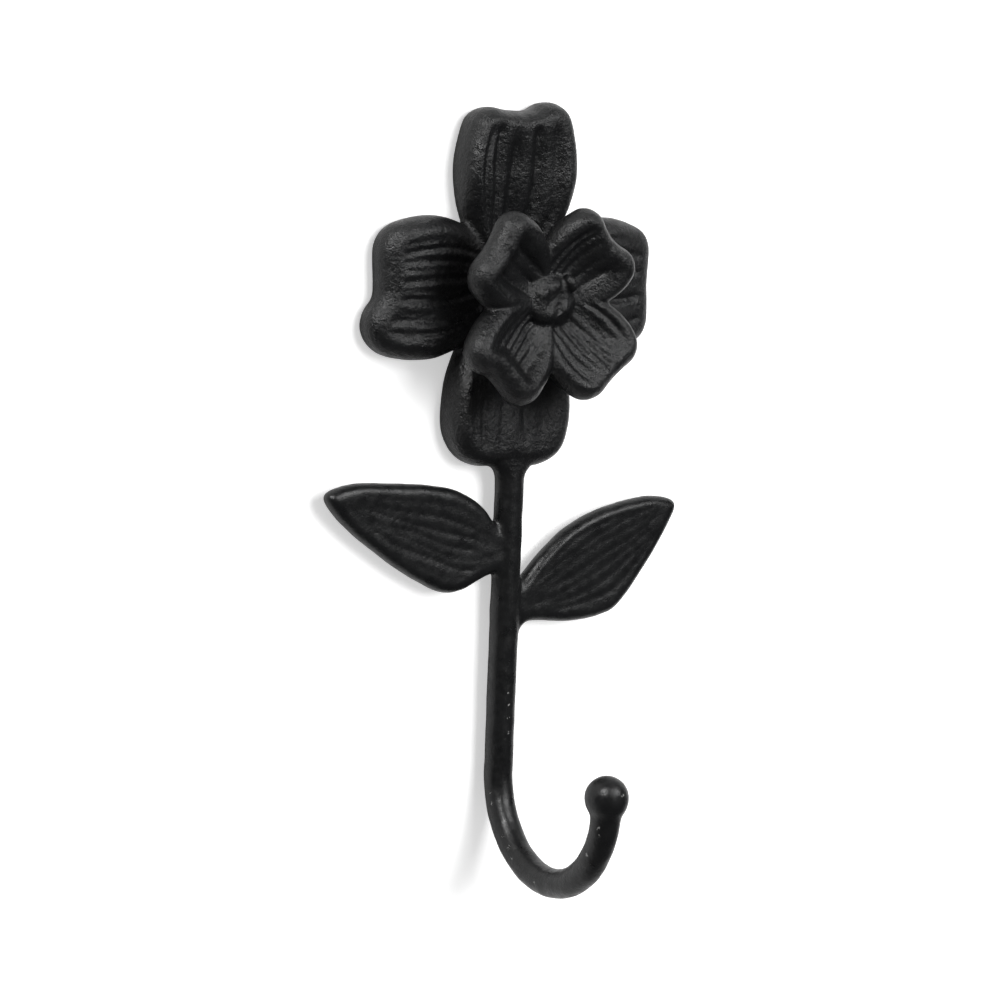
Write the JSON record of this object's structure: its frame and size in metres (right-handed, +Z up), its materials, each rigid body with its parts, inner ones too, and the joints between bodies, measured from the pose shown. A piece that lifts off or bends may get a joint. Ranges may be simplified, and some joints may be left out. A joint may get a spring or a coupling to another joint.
{
  "type": "wall hook",
  "caption": "Cast-iron wall hook: a large flower against the wall, a smaller flower in front of it as a peg, and a leafy stem that curls forward into a hook with a ball end.",
  "frame": {"origin": "centre of the large flower, on the flat back that lies against the wall", "axes": "+Z up along the wall, +Y into the wall, so that the flowers and the hook stand out towards -Y; +X to the right as seen from the front"},
  "size_m": [0.1005, 0.0559, 0.1876],
  "materials": {
    "painted_iron": "satin"
  },
  "bodies": {
    "root": {"flower_hook": "painted_iron"}
  },
  "joints": []
}
